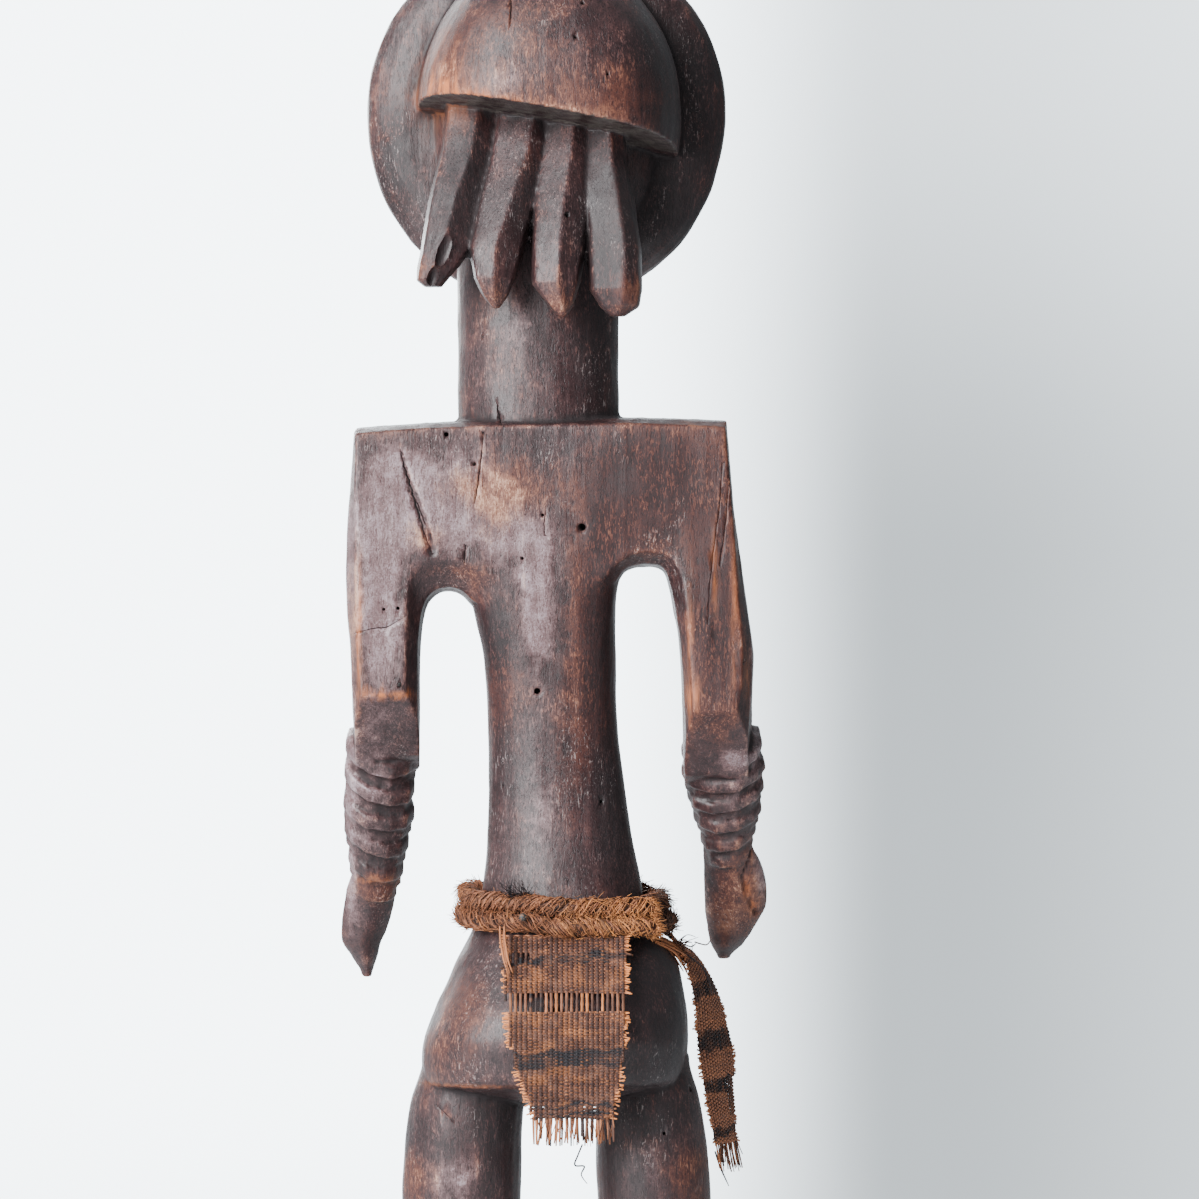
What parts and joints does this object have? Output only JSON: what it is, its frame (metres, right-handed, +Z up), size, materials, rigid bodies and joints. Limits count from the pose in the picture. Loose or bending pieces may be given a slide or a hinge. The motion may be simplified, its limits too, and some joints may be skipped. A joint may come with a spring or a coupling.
{
  "type": "carved wooden figure",
  "caption": "Standing figure carved in dark wood on a low base, with a disc-shaped head, free-hanging arms, a plaited fibre belt and woven raffia panels hanging from the belt.",
  "frame": {"origin": "centre of the base's underside", "axes": "+Z up, the figure's face looks along -Y, its own left side towards +X"},
  "size_m": [0.1517, 0.108, 0.5995],
  "materials": {
    "carved_wood": "dark handled wood with a soft waxy sheen, red-brown where it is worn",
    "plaited_fibre": "dry golden-brown plaited fibre, fuzzy",
    "woven_raffia": "dry woven raffia in brown and black bands",
    "tack_iron": "dull grey iron"
  },
  "bodies": {
    "root": {"carved_figure": "carved_wood", "waist_belt": "plaited_fibre", "back_panel": "woven_raffia", "side_panel": "woven_raffia", "belt_tack": "tack_iron"}
  },
  "joints": []
}
